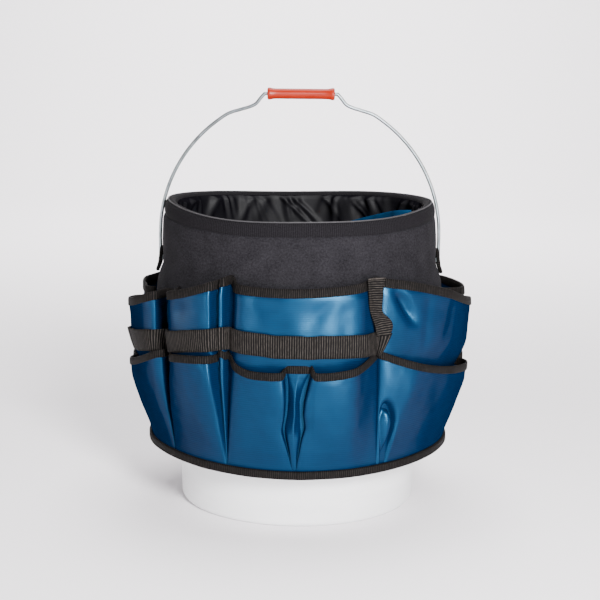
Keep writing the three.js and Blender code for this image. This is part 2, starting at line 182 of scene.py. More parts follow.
def smooth_rows(a, sigma):
    """Gaussian smoothing down axis 0, keeping the first and last rows."""
    n = len(a)
    reach = int(3 * sigma)
    w = np.exp(-0.5 * (np.arange(-reach, reach + 1) / sigma) ** 2)
    w /= w.sum()
    head = 2 * a[:1] - a[1 : reach + 1][::-1]
    tail = 2 * a[-1:] - a[-reach - 1 : -1][::-1]
    padded = np.concatenate([head, a, tail])
    return sum(w[k] * padded[k : k + n] for k in range(2 * reach + 1))


def noise2(x, y, seed):
    """Smooth value noise, -1 to 1, over two arrays measured in cells."""
    rng = np.random.default_rng(seed)
    table = rng.uniform(-1, 1, (64, 64))
    xi, yi = np.floor(x).astype(int), np.floor(y).astype(int)
    fx, fy = x - xi, y - yi
    fx, fy = fx * fx * (3 - 2 * fx), fy * fy * (3 - 2 * fy)
    t = lambda i, j: table[i % 64, j % 64]
    top = t(xi, yi) * (1 - fx) + t(xi + 1, yi) * fx
    bottom = t(xi, yi + 1) * (1 - fx) + t(xi + 1, yi + 1) * fx
    return top * (1 - fy) + bottom * fy


def rounded(width, height, radius, steps=3):
    """A closed round-cornered rectangle centred on 0, counter-clockwise."""
    points = []
    for cx, cy, start in ((1, -1, -90), (1, 1, 0), (-1, 1, 90), (-1, -1, 180)):
        for i in range(steps + 1):
            a = math.radians(start + 90 * i / steps)
            x = cx * (width / 2 - radius) + radius * math.cos(a)
            y = cy * (height / 2 - radius) + radius * math.sin(a)
            points.append((x, y))
    return points


# ---- material helpers


class Nodes:
    """A short way to write a node material."""

    def __init__(self, name):
        self.material = bpy.data.materials.new(name)
        self.material.use_nodes = True
        self.tree = self.material.node_tree
        self.shader = self.tree.nodes["Principled BSDF"]

    def add(self, kind, **settings):
        node = self.tree.nodes.new(kind)
        for key, value in settings.items():
            if key in node.inputs:
                self.put(node.inputs[key], value)
            else:
                setattr(node, key, value)
        return node

    def put(self, socket, value):
        if isinstance(value, bpy.types.NodeSocket):
            self.tree.links.new(value, socket)
        else:
            socket.default_value = value

    def coords(self, scale, kind):
        source = self.add("ShaderNodeTexCoord")
        return self.add("ShaderNodeMapping", Scale=scale, Vector=source.outputs[kind]).outputs[0]

    def facing(self):
        """0 where the surface faces the viewer, 1 at its outline."""
        return self.add("ShaderNodeLayerWeight", Blend=0.5).outputs["Facing"]

    def noise(self, scale, detail, roughness=0.55, kind="UV"):
        place = self.coords(scale, kind)
        node = self.add("ShaderNodeTexNoise", Scale=1.0, Detail=detail, Roughness=roughness, Vector=place)
        return node.outputs["Fac"]

    def wave(self, period_mm, direction, distortion=0.0, detail_scale=1.0):
        """Bands of a period in millimetres, across U (X) or V (Y)."""
        sockets = {"Scale": 2 * math.pi / (20 * period_mm * MM), "Detail Scale": detail_scale}
        sockets.update(Distortion=distortion, Vector=self.coords((1, 1, 1), "UV"))
        node = self.add("ShaderNodeTexWave", wave_type="BANDS", bands_direction=direction, **sockets)
        return node.outputs["Fac"]

    def math(self, operation, a, b):
        node = self.add("ShaderNodeMath", operation=operation)
        self.put(node.inputs[0], a)
        self.put(node.inputs[1], b)
        return node.outputs[0]

    def blend(self, *parts):
        """The sum of (value, weight) pairs."""
        total, *others = [self.math("MULTIPLY", value, weight) for value, weight in parts]
        for part in others:
            total = self.math("ADD", total, part)
        return total

    def ramp(self, value, low, high, to_low=0.0, to_high=1.0):
        node = self.add("ShaderNodeMapRange")
        keys = ("Value", "From Min", "From Max", "To Min", "To Max")
        for key, v in zip(keys, (value, low, high, to_low, to_high)):
            self.put(node.inputs[key], v)
        return node.outputs[0]

    def mix(self, share, a, b):
        node = self.add("ShaderNodeMix", data_type="RGBA")
        for socket, value in ((0, share), (6, a), (7, b)):
            self.put(node.inputs[socket], value)
        return node.outputs[2]

    def bump(self, height, strength, distance_mm):
        node = self.add("ShaderNodeBump", Strength=strength, Distance=distance_mm * MM, Height=height)
        return node.outputs[0]

    def finish(self, **sockets):
        """Sets the shader's sockets, with _ for each space in their names."""
        for key, value in sockets.items():
            self.put(self.shader.inputs[key.replace("_", " ")], value)
        return self.material


def rgb(r, g, b):
    return (r, g, b, 1.0)


def nylon(name, deep, light):
    """Satin oxford nylon: fine cross ribs, slubs, a soft gloss that fades where the cloth turns away."""
    n = Nodes(name)
    rib = n.wave(2.4, "Y", 0.6, 3.0)
    weave = n.math("MULTIPLY", n.wave(0.8, "Y"), n.wave(0.8, "X"))
    slub = n.noise((60, 900, 1), 4)
    cloud = n.noise((28, 18, 1), 3)
    share = n.blend((slub, 0.5), (rib, 0.25), (cloud, 0.45))
    colour = n.mix(n.ramp(share, 0.25, 0.95), deep, light)
    normal = n.bump(n.blend((rib, 0.7), (weave, 0.5), (slub, 0.5)), 0.35, 0.12)
    rough = n.ramp(cloud, 0.3, 0.7, 0.29, 0.36)
    gloss = n.math("POWER", n.ramp(n.facing(), 0.02, 0.55, 1.0, 0.0), 2.0)
    gloss = n.math("MULTIPLY", gloss, 0.68)
    n.finish(Base_Color=colour, Roughness=rough, Normal=normal)
    return n.finish(Specular_IOR_Level=gloss, Specular_Tint=rgb(0.14, 0.53, 0.95))


def webbing(name, dark, light, period):
    """Ribbed polyester tape: ribs across it, with a painted highlight that colours their crests lighter."""
    n = Nodes(name)
    rib = n.wave(period, "X", 0.5, 2.0)
    fleck = n.noise((900, 160, 1), 4)
    # painted highlight: the rib crests, flecked, are coloured lighter where light would catch them
    crest = n.math("MULTIPLY", n.math("POWER", rib, 3.0), fleck)
    colour = n.mix(n.ramp(crest, 0.15, 0.6), dark, light)
    normal = n.bump(n.blend((rib, 1.0), (fleck, 0.35)), 0.6, 0.35)
    return n.finish(Base_Color=colour, Roughness=0.78, Normal=normal, Specular_IOR_Level=0.08)


def cuff_cloth():
    """Heather charcoal knit over foam."""
    n = Nodes("cuff_cloth")
    fine = n.noise((1100, 1100, 1), 5, 0.7)
    cloud = n.noise((50, 50, 1), 3)
    weave = n.math("MULTIPLY", n.wave(1.1, "X", 1.5, 4.0), n.wave(1.1, "Y", 1.5, 4.0))
    heather = n.noise((420, 420, 1), 3, 0.75)
    share = n.blend((fine, 0.5), (cloud, 0.2), (heather, 0.6))
    colour = n.mix(n.ramp(share, 0.5, 0.82), rgb(0.0028, 0.0026, 0.0032), rgb(0.0185, 0.0175, 0.0205))
    normal = n.bump(n.blend((fine, 0.8), (weave, 0.5)), 0.5, 0.3)
    return n.finish(Base_Color=colour, Roughness=0.92, Normal=normal, Specular_IOR_Level=0.06)


def rim_cloth():
    """The knit rib that finishes the cuff's edge."""
    n = Nodes("rim_cloth")
    rib = n.wave(2.4, "X", 0.4, 2.0)
    fine = n.noise((900, 700, 1), 4, 0.65)
    share = n.math("MULTIPLY", fine, n.math("ADD", n.math("MULTIPLY", rib, 0.5), 0.7))
    colour = n.mix(n.ramp(share, 0.25, 0.8), rgb(0.0015, 0.0013, 0.0017), rgb(0.0125, 0.0115, 0.0135))
    normal = n.bump(n.blend((rib, 0.8), (fine, 0.6)), 0.5, 0.3)
    return n.finish(Base_Color=colour, Roughness=0.9, Normal=normal, Specular_IOR_Level=0.06)


def lining_cloth():
    """Thin glossy nylon."""
    n = Nodes("lining_cloth")
    fine = n.noise((700, 700, 1), 3)
    cloud = n.noise((60, 60, 1), 4)
    colour = n.mix(cloud, rgb(0.0012, 0.0012, 0.0016), rgb(0.006, 0.0055, 0.0075))
    normal = n.bump(n.blend((cloud, 1.0), (fine, 0.08)), 0.25, 1.2)
    gloss = n.ramp(n.facing(), 0.15, 0.5, 0.2, 0.0)
    return n.finish(Base_Color=colour, Roughness=0.6, Normal=normal, Specular_IOR_Level=gloss)


def bucket_plastic():
    """Moulded polyethylene, with faint flow marks and scuffs."""
    n = Nodes("bucket_plastic")
    mark = n.noise((6, 6, 40), 4, kind="Object")
    scuff = n.noise((90, 90, 260), 5, 0.7, "Object")
    colour = n.mix(n.ramp(mark, 0.35, 0.7), rgb(0.72, 0.72, 0.73), rgb(0.64, 0.64, 0.65))
    normal = n.bump(scuff, 0.06, 0.3)
    rough = n.ramp(scuff, 0.3, 0.75, 0.3, 0.5)
    n.finish(Base_Color=colour, Roughness=rough, Normal=normal)
    return n.finish(Specular_IOR_Level=0.5, Coat_Weight=0.15)


def galvanised():
    """Zinc-coated wire with a faint spangle."""
    n = Nodes("galvanised_wire")
    spangle = n.noise((90, 90, 90), 2, kind="Object")
    grain = n.noise((900, 900, 900), 3, kind="Object")
    colour = n.mix(n.ramp(spangle, 0.35, 0.65), rgb(0.15, 0.17, 0.18), rgb(0.24, 0.265, 0.28))
    rough = n.ramp(spangle, 0.3, 0.7, 0.3, 0.38)
    normal = n.bump(grain, 0.02, 0.05)
    return n.finish(Base_Color=colour, Metallic=1.0, Roughness=rough, Normal=normal)


def grip_plastic():
    """Moulded plastic, slightly grained."""
    n = Nodes("grip_plastic")
    cloud = n.noise((40, 160, 160), 3, kind="Object")
    grain = n.noise((700, 1500, 1500), 2, kind="Object")
    colour = n.mix(cloud, rgb(0.19, 0.0065, 0.0006), rgb(0.26, 0.013, 0.0015))
    normal = n.bump(grain, 0.08, 0.15)
    rough = n.ramp(cloud, 0.3, 0.7, 0.28, 0.38)
    return n.finish(Base_Color=colour, Roughness=rough, Normal=normal, Specular_IOR_Level=0.22)


def plain(name, colour, roughness):
    """One colour with a fine, faint mottle."""
    n = Nodes(name)
    fine = n.noise((300, 300, 300), 3, kind="Object")
    shade = tuple(0.82 * c for c in colour[:3]) + (1.0,)
    return n.finish(Base_Color=n.mix(fine, colour, shade), Roughness=roughness, Normal=n.bump(fine, 0.1, 0.2))


BLUE = nylon("blue_nylon", rgb(0.0001, 0.0038, 0.0165), rgb(0.0003, 0.0125, 0.040))
BLUE_INSIDE = nylon("blue_nylon_inside", rgb(0.0012, 0.02, 0.06), rgb(0.003, 0.045, 0.11))
# the tapes' lighter colours are a painted highlight on their rib crests
TAPE = webbing("binding_tape", rgb(0.0012, 0.001, 0.001), rgb(0.019, 0.0155, 0.014), 2.3)
WEB = webbing("strap_webbing", rgb(0.0012, 0.001, 0.001), rgb(0.042, 0.036, 0.032), 2.6)
CUFF = cuff_cloth()
RIM_CLOTH = rim_cloth()
LINING = lining_cloth()
BUCKET = bucket_plastic()
WIRE = galvanised()
GRIP = grip_plastic()
THREAD = plain("piping", rgb(0.02, 0.0185, 0.021), 0.8)

# ---- outline of the skirt

SKIRT_DROP = [0, 40, 66, 78, 112, 150, 280]
SKIRT_RADIUS = [157, 159.5, 163, 166.5, 168.5, 169.5, 171]


def skirt_radius(drop):
    """Radius of the cuff and skirt, from which pockets stand off."""
    return np.interp(drop, SKIRT_DROP, SKIRT_RADIUS)


def side_share(angle, power):
    """0 at the front and back, 1 at the sides."""
    return np.abs(np.sin(np.radians(angle))) ** power


A, B, C = -53.5, -26.5, 30.5  # degrees: the seams between the upper pockets
SIDE = 92  # degrees: where the side pockets end

# The edges that run round the skirt, curve by curve: (angle, drop) where the curve starts and where it
# ends, how far it sags between them, and how far it eases out of its start and into its end.
UPPER_MOUTHS = [
    ((-SIDE, 106), (A, 79), 7, 0),
    ((A, 79), (A + 0.7, 82), 0, 0),
    ((A + 0.7, 82), (B, 57.5), 3, 0),
    ((B, 57.5), (B + 2.5, 65), 0, 0),
    ((B + 2.5, 65), (C, 59.5), 4.5, 0),
    ((C, 59.5), (SIDE, 105), 0, 3.4),
]
TONGUE = (B - 3, 143.5)  # where the second lower pocket's edge turns up to the seam
LOWER_MOUTHS = [
    ((-SIDE, 178), (A, 148), 7, 0),
    ((A, 148), (A + 0.5, 152), 0, 0),
    ((A + 0.5, 152), TONGUE, -1.5, 0),
    (TONGUE, (B - 1, 136.5), -1, 0),
    ((B - 1, 136.5), (B + 0.5, 143), 0, 0),
    ((B + 0.5, 143), (-5.2, 156.5), 7.5, -1.5),
    ((-5.2, 156.5), (-4.3, 150.5), 0, 0),
    ((-4.3, 150.5), (4.7, 150.5), 0, 0),
    ((4.7, 150.5), (5.6, 156.5), 0, 0),
    ((5.6, 156.5), (C, 139), 5, 0),
    ((C, 139), (SIDE, 180), 9.2, -1),
]
STRAP_TOP = [((-SIDE, 146), (B, 111.5), 0, 0), ((B, 111.5), (38, 121), 1, -2)]


def edge_drop(curves, angle):
    """Drop of an edge that runs round the skirt in separate curves."""
    angle = np.asarray(angle, float)
    drop = np.full(angle.shape, float(curves[0][0][1]))
    for (start, first), (stop, last), sag, ease in curves:
        s = np.clip((angle - start) / (stop - start), 0, 1)
        curve = first + (last - first) * s + sag * (1 - (2 * s - 1) ** 2) - ease * np.sin(2 * np.pi * s)
        drop = np.where(angle >= start, curve, drop)
    return drop


def upper_drop(angle):
    return edge_drop(UPPER_MOUTHS, angle)


def hem_drop(angle):
    """Drop of the hem's lower edge."""
    return 279.5 - 7.5 * side_share(angle, 2) + 3.0 * side_share(angle, 8)


def lower_drop(angle):
    return edge_drop(LOWER_MOUTHS, angle)


# Each pocket's cross-section at its mouth, from one seam to the other: (angle, stand-off, and the
# angle that the point has moved to at the hem, where the ridges run into the seams).


def scaled(section, factor, spread):
    """The same fold, less deep, with its angles moved towards the ones it has at the hem."""
    return [(b + (a - b) * spread, d * factor) for a, d, b in section]


def keys(section, levels):
    return [(h, scaled(section, factor, spread)) for h, factor, spread in levels]


# share of height, share of depth, share of spread
UPPER_LEVELS = [(0, 0.02, 0.3), (0.3, 0.12, 0.65), (0.48, 0.3, 0.85), (0.57, 0.55, 0.92),
                (0.66, 0.84, 0.97), (1, 1, 1)]
LOWER_LEVELS = [(0, 0.05, 0), (0.13, 0.17, 0.14), (0.43, 0.55, 0.46), (0.77, 0.93, 0.8), (1, 1, 1)]

UPPER = {
    1: [(-88, 0, -88), (-88.2, 12, -88), (-88, 24, -88), (-84, 31, -85), (-76, 32.5, -77),
        (-67, 32, -67), (-63, 32, -63), (-60.8, 31, -60.5), (-59, 28.5, -58.5), (-57.4, 25.5, -57),
        (-56.9, 23, -56), (-57.8, 17, -55.5), (-60, 8, -55), (-61, 1, -55), (-60, 0.2, -54.5),
        (-56, 0.2, A), (A, 0, A)],
    2: [(A, 0, A), (-52.6, 6, A), (-51.2, 15, -53), (-49.6, 22, -52.3), (-48.2, 26, -51.5),
        (-46.6, 27.8, -50), (-42, 28.5, -44), (-36, 28, -36), (-31.6, 27.5, -30.5), (-30.3, 26.5, -29),
        (-29.9, 23, -28.2), (-30.0, 12, -27.8), (-29.4, 10, -27.4), (-28.4, 17, -27.1),
        (-27.4, 18.5, -26.9), (-26.5, 16, -26.7), (-26.6, 7, B), (B, 0, B)],
    3: [(B, 0, B), (-25.8, 0.2, -26), (-24.9, 1, -25.2), (-24, 5, -24.5), (-22.9, 10, -23.3),
        (-20, 12.5, -21), (-12, 14, -12), (0, 14, 0), (12, 14.5, 12), (18, 15, 18), (22, 14.5, 21.5),
        (24, 11, 23.5), (26.5, 5.5, 26.5), (29.5, 1, 29.5), (C, 0, C)],
    4: [(C, 0, C), (30.9, 4, 30.6), (33, 8, 31.5), (38, 12, 34), (44, 17, 39), (50, 22.5, 45),
        (54.5, 27, 50), (57.5, 30, 54), (59.5, 31, 57), (62, 31, 61), (66, 30.5, 66), (74, 31.5, 74),
        (82, 32.5, 82), (87, 32, 87), (90.5, 27, 90), (SIDE, 13, SIDE), (SIDE, 0, SIDE)],
}

LOWER = {
    1: [(-88, 0, -88), (-88.4, 12, -88), (-87.8, 23, -88), (-84, 28.5, -88), (-75, 29.5, -80),
        (-66, 29.5, -66), (-58.5, 29, -58.5), (-56, 28, -56.5), (-54.4, 25.5, -55.2),
        (-53.1, 22.5, -54.2), (-52.7, 20, -53.8), (-53.4, 14, A), (-55, 6, A), (-56, 0.5, A),
        (-55, 0.2, A), (A, 0, A)],
    2: [(A, 0, A), (-52.2, 6, A), (-50.2, 14, A), (-48.0, 21, A), (-46.5, 25, -53), (-44.3, 27.5, -50),
        (-41, 28.5, -43), (-37, 28.5, -34), (-33.5, 26.8, -30), (-31.2, 24.6, -28), (-30.2, 22, -27.3),
        (-29.8, 8, -26.9), (-29.2, 6, -26.8), (-28.3, 12.5, -26.7), (-27.2, 13, -26.6),
        (-26.4, 9, B), (-26.6, 3, B), (B, 0, B)],
    5: [(C, 0, C), (30.8, 4, C), (33, 8, 30.7), (37, 12.5, 31), (41, 17, 31.5), (43.4, 20, 32),
        (45.2, 21.5, 33.5), (48, 21, 38), (56, 21.5, 50), (66, 25.5, 64), (76, 29, 78), (84, 29, 90),
        (89.5, 25, SIDE), (91.8, 13, SIDE), (SIDE, 0, SIDE)],
}

# The two middle pockets are one piece of cloth with a box pleat between them, pinched half way down.
# Each level: share of height, panel depth, left ridge, left valley, pleat's left edge and its depth,
# centre, its depth and that of its crest, pleat's right edge, right valley and its depth, right lip,
# right ridge.
PLEAT_LEVELS = [
    (0.0, 0.8, -1.5, -1.4, -1.3, 0.7, -0.8, 0.8, 0.8, -0.4, -0.3, 0.6, -0.2, 0.3),
    (0.1, 3.2, -2.4, -2.3, -1.9, 2.0, -1.1, 2.7, 3.1, -0.5, -0.2, 0.0, 0.0, 1.8),
    (0.22, 6.6, -3.6, -3.5, -2.9, 4.0, -1.4, 4.9, 5.6, -0.1, 0.5, -0.5, 0.8, 3.4),
    (0.34, 9.2, -4.8, -4.7, -3.9, 5.4, -1.5, 6.5, 7.5, 0.6, 1.2, -0.8, 1.6, 4.6),
    (0.44, 11.2, -5.6, -5.4, -4.8, 1.8, -1.5, 5.8, 8.6, 0.9, 2.0, -1.5, 2.7, 5.1),
    (0.56, 13.4, -4.7, -4.6, -4.2, 1.4, -1.1, 5.8, 8.8, 1.0, 1.6, -2.0, 2.0, 5.4),
    (0.68, 15.2, -4.4, -4.3, -3.9, 1.8, -1.1, 6.2, 9.2, 1.0, 1.8, -2.0, 2.4, 5.8),
    (0.8, 16.6, -4.5, -4.3, -3.5, 4.8, -0.8, 7.8, 9.6, 1.9, 2.9, 0.0, 3.4, 6.2),
    (0.9, 17.6, -4.8, -4.6, -3.6, 7.8, -0.2, 8.8, 9.4, 3.2, 4.0, 2.5, 4.3, 6.4),
    (1.0, 18.0, -4.9, -4.7, -3.9, 8.5, 0.1, 9.0, 9.0, 3.9, 4.6, 6.5, 4.8, 6.6),
]


def pleat_key(level):
    """A level's cross-section: panel, rolled lip, pleat and crest, lip, panel."""
    h, deep, left, left_valley, edge, edge_deep, mid, mid_deep, crest = level[:9]
    right_edge, valley, valley_deep, lip, right = level[9:]
    side = 0.35 + 0.65 * h
    return (h, [
        (B, 0), (B + 0.5, 0.02 * deep), (B + 1.6 * h, 0.1 * deep), (B + 2.6 * h, 0.35 * deep),
        (B + 4 * h, 0.58 * deep), (-17, 0.75 * deep), (left - 5.5, 1.03 * deep), (left - 3, 1.07 * deep),
        (left - 1, 1.03 * deep), (left + 0.05, 0.97 * deep), (left + 0.1, 0.75 * deep),
        (left + 0.1, 0.3 * deep), (left_valley, valley_deep), (left_valley + 0.2, valley_deep),
        (edge, edge_deep), (mid - 1.2, mid_deep), (mid - 0.22, crest), (mid + 0.22, crest),
        (mid + 0.9, mid_deep), (right_edge, edge_deep), (valley, valley_deep), (lip - 0.1, valley_deep),
        (lip - 0.2, 0.45 * deep), (lip - 0.1, 0.85 * deep), (0.5 * (lip + right), deep),
        (right, 1.05 * deep), (right + 3, 1.08 * deep), (13, 1.15 * deep), (17, 1.2 * deep),
        (20, 1.15 * deep), (22.5, 0.8 * deep), (26.5, 0.4 * deep * side), (29.5, 0.15 * deep * side),
        (C, 0),
    ])


PLEAT_KEYS = [pleat_key(level) for level in PLEAT_LEVELS]

PANEL_THICK = 0.9
CREASE = 0.5  # how strongly small creases are pressed in
TUCK = 1.2  # from the tape's top edge down to the cloth's


def pocket_surface(section_keys, top_drop, rows, cols, seed, blur=22, dents=(), squeeze=None):
    """Grid of (angle, radius, z) from the hem up to the binding, with wrinkles pressed into it."""
    levels = np.array([k[0] for k in section_keys])
    control = np.array([k[1] for k in section_keys], float)
    share = np.linspace(0, 1, rows)
    at = np.empty((rows, control.shape[1], 2))
    for j in range(control.shape[1]):
        for k in range(2):
            at[:, j, k] = np.interp(share, levels, control[:, j, k])
    at = smooth_rows(at, rows / blur)
    line = bspline(at, cols)
    mouth = smooth_rows(line[-1], 1.6)
    near = np.clip((share - 0.88) / 0.1, 0, 1)[:, None, None]
    line = line * (1 - near) + mouth * near
    angle, depth = line[..., 0], np.maximum(line[..., 1], 0)
    if squeeze is not None:
        depth = depth * squeeze(angle)
    ahead = np.clip(np.maximum.accumulate(angle, 1), control[-1, 0, 0] + 0.1, control[-1, -1, 0] - 0.1)
    top = RIM - top_drop(ahead) - TUCK
    bottom = RIM - hem_drop(angle) + 5
    z = bottom + (top - bottom) * share[:, None]
    across = np.radians(angle) * 175
    crease = noise2(across / 17 + 3, z / 34, seed) + 0.5 * noise2(across / 8 + 9, z / 13, seed + 1)
    pull = noise2(across / 30 + z / 45, z / 60 - across / 50, seed + 2)
    room = np.clip(depth / 12, 0, 1) * np.clip((0.98 - share[:, None]) / 0.1, 0, 1)
    depth = depth + CREASE * room * (0.9 * crease + 1.6 * pull)
    for dent in dents:
        depth = depth + dent(angle, z, depth) * np.clip((0.98 - share[:, None]) / 0.08, 0, 1)
    return angle, skirt_radius(RIM - z) + 1.0 + depth, z


def ring_dent(angle, z, depth):
    """The loop-shaped crease low on the side pocket, beside its first seam."""
    centre_angle, centre_drop = 33.4, 222
    above, below, half_width = 19, 46, 8.5
    dx = np.radians(angle - centre_angle) * 178
    dz = RIM - z - centre_drop
    tall = np.where(dz < 0, above, below)
    wide = half_width * np.where(dz < 0, 1, np.clip(1 - dz / 75, 0.25, 1))
    lean = -0.05 * np.maximum(dz, 0)
    away = np.sqrt(((dx - lean) / wide) ** 2 + (dz / tall) ** 2) - 1
    side = np.clip((dx - lean) / wide + 0.9, 0, 1)
    rim = -8.5 * np.exp(-((away * wide / 2.3) ** 2)) * side
    inside = 2.2 * np.clip(-away, 0, 1)
    return (rim + inside) * np.clip(depth / 4, 0, 1)


def slant_dent(centre, top, bottom, slope, width, deep):
    """A shallow crease that runs down and across a pocket."""

    def dent(angle, z, depth):
        drop = RIM - z
        middle = centre + slope * (drop - top)
        along = np.clip((drop - top) / 12, 0, 1) * np.clip((bottom - drop) / 20, 0, 1)
        return -deep * along * np.exp(-(((angle - middle) / width) ** 2))

    return dent


def turned(angle, half):
    """The back half is the front half turned half way round."""
    return angle + (180 if half == "back" else 0)


surfaces = {}  # each panel's grid of (angle, radius, z), for its binding and the strap


def add_panel(name, half, section_keys, top_drop, rows, cols, seed, replaces, **extra):
    """The cloth of one pocket, from the hem to its mouth."""
    angle, radius, z = pocket_surface(section_keys, top_drop, rows, cols, seed, **extra)
    points = polar(turned(angle, half), radius, z)
    u = arc_length(points[-rows // 3])
    obj = grid_object(name, points, BLUE, u, z, thickness=PANEL_THICK)
    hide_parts(*replaces)
    surfaces[name] = (angle, radius, z)


def edge_frames(points):
    """Outward directions, level, along a line of points that runs towards +angle."""
    tangent = np.gradient(points, axis=0)
    out = np.stack([tangent[:, 1], -tangent[:, 0], 0 * tangent[:, 0]], -1)
    out /= np.maximum(np.linalg.norm(out, axis=1, keepdims=True), 1e-9)
    return out


def add_binding(name, half, panel, height, thick, replaces, seed):
    """Tape folded over the top edge of a panel, leaning as the panel does below it."""
    angle, radius, z = surfaces[panel]
    points = polar(turned(angle[-1], half), radius[-1], z[-1])
    row, col = np.argmin(np.abs(z[-1] - z - height), axis=0), np.arange(z.shape[1])
    lean = points - polar(turned(angle[row, col], half), radius[row, col], z[row, col])
    length = arc_length(points)
    count = max(int(length[-1] / 1.6), 12)
    at = np.linspace(0, length[-1], count)
    points = np.stack([np.interp(at, length, points[:, k]) for k in range(3)], -1)
    lean = np.stack([np.interp(at, length, lean[:, k]) for k in range(3)], -1)
    points = smooth_rows(points, 0.9)
    out = edge_frames(points)
    sway = 0.35 * noise2(at / 15, at * 0, seed)
    points = points + out * (sway - 0.2)[:, None]
    along = np.clip(np.sum(lean * out, axis=1) / np.maximum(lean[:, 2], 1e-6), -0.5, 0.5)
    up = np.array([0.0, 0.0, 1.0]) + smooth_rows(along[:, None], 2.5) * out
    up /= np.linalg.norm(up, axis=1, keepdims=True)
    w = thick / 2
    face = [(w * 0.8, TUCK - height), (w, TUCK - height + 0.6), (w * 1.05, TUCK - height * 0.5),
            (w * 0.95, TUCK - 1.6), (w * 0.6, TUCK - 0.4)]
    section = face + [(0, TUCK)] + [(-x, y) for x, y in reversed(face)]
    obj = swept(name, points, out, up, section, TAPE)
    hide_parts(*replaces)


# ---- pockets

ROWS = 80
BACK_MOUTH = 96  # drop of the mouths of the back's side pockets


def back_upper_drop(angle):
    """At the back the side pockets' mouths are level."""
    level = np.clip((np.abs(angle) - 45) / 12, 0, 1)
    return upper_drop(angle) * (1 - level) + BACK_MOUTH * level


def tight_end(angle):
    """The back's last pocket lies flatter where it meets the front."""
    return 1 - 0.55 * np.clip((angle - 70) / 16, 0, 1)


UPPER_DENTS = {
    2: (slant_dent(-41, 74, 120, -0.05, 2.5, 1.2),),
    3: (slant_dent(13, 64, 120, -0.2, 3.0, 1.6), slant_dent(-12, 64, 120, 0.12, 3.5, 1.4)),
    4: (
        slant_dent(36.5, 68, 118, 0.16, 2.0, 6.0),
        slant_dent(50, 74, 150, -0.02, 1.7, 1.2),
        slant_dent(63, 84, 150, -0.09, 2.6, 2.4),
    ),
}
LOWER_DENTS = {5: (ring_dent,)}
UPPER_COLUMNS = {1: 80, 2: 100, 3: 90, 4: 110}
LOWER_COLUMNS = {1: 80, 2: 104, 5: 120}
UPPER_TAPE = (10, 3.4)  # height and thickness of the folded tape
LOWER_TAPE = (9, 3.2)


def add_pockets(half, seed, mouths):
    """The upper and lower pockets of one half, each with the tape on its mouth."""
    upper = ("upper", mouths, seed, UPPER, UPPER_LEVELS, UPPER_COLUMNS, UPPER_DENTS, UPPER_TAPE)
    lower = ("lower", lower_drop, seed + 10, LOWER, LOWER_LEVELS, LOWER_COLUMNS, LOWER_DENTS, LOWER_TAPE)
    for row, top_drop, start, sections, levels, columns, dents, tape in (upper, lower):
        for i, cols in columns.items():
            name = f"{row}_pocket_{half}_{i}"
            edge = name + "_binding"
            shape = keys(sections[i], levels)
            flat = tight_end if name == "upper_pocket_back_4" else None
            more = {"dents": dents.get(i, ()), "squeeze": flat}
            add_panel(name, half, shape, top_drop, ROWS, cols, start + i, [name], **more)
            add_binding(edge, half, name, *tape, [edge], start + 20 + i)
    middle = f"lower_pocket_{half}_middle"
    pair = [f"lower_pocket_{half}_3", f"lower_pocket_{half}_4"]
    add_panel(middle, half, PLEAT_KEYS, lower_drop, ROWS + 20, 240, seed + 17, pair, blur=70)
    add_binding(middle + "_binding", half, middle, *LOWER_TAPE, [p + "_binding" for p in pair], seed + 37)


add_pockets("front", 11, upper_drop)
add_pockets("back", 61, back_upper_drop)

# ---- webbing

STRAP_WIDTH = 25
STRAP_THICK = 1.7
STRAP_START = -88  # degrees: where the strap is sewn in at the side
STRAP_FOLD = 29.5  # degrees: where it is folded back to become the tail
STRAP_LEAST_RADIUS = 171.5


def envelope(names, angles, z):
    """Largest radius of the panels within a little of each angle, at its height."""
    z = z + 0 * angles
    best = skirt_radius(RIM - z) + 3.0
    for name in names:
        angle, radius, height = surfaces[name]
        mid = height[:, height.shape[1] // 2]
        rows = np.clip(np.searchsorted(mid, z), 1, height.shape[0] - 1)
        for k, (a, row) in enumerate(zip(angles, rows)):
            a0, a1 = angle[row][:-1], angle[row][1:]
            for at in (a - 0.7, a, a + 0.7):
                across = (np.minimum(a0, a1) <= at) & (np.maximum(a0, a1) >= at)
                if across.any():
                    share = (at - a0[across]) / np.where(a1 == a0, 1, a1 - a0)[across]
                    there = radius[row][:-1][across] * (1 - share) + radius[row][1:][across] * share
                    best[k] = max(best[k], there.max())
    return best


def add_strap(half):
    """The webbing across the upper pockets, lying on whatever stands out furthest."""
    names = [f"upper_pocket_{half}_{i}" for i in (1, 2, 3, 4)]
    angles = np.arange(STRAP_START, 36.1, 0.4)
    drop = edge_drop(STRAP_TOP, angles)
    low = envelope(names, angles, RIM - drop - 23)
    high = envelope(names, angles, RIM - drop - 2)
    end_bulge = 4.0 * np.clip(1 - (angles - STRAP_START) / 16, 0, 1)
    low, high = (smooth_rows(np.maximum(e, STRAP_LEAST_RADIUS) + end_bulge, 1.6) for e in (low, high))
    rows = 9
    share = np.linspace(0, 1, rows)[:, None]
    radius = low * (1 - share) + high * share + 1.5 + 0.6 * np.sin(np.pi * share)
    wave = 0.6 * noise2(angles / 4.0, angles * 0, 5)
    z = RIM - drop - STRAP_WIDTH * (1 - share) + wave
    past = np.maximum(angles - STRAP_FOLD, 0)
    slant = angles - past + past * (0.05 + 0.72 * share)
    points = polar(turned(slant, half), radius, z)
    u = arc_length(points[rows // 2])
    obj = grid_object(f"tool_strap_{half}", points, WEB, u, z - z[0], thickness=STRAP_THICK, offset=1.0)
    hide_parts(f"tool_strap_{half}")


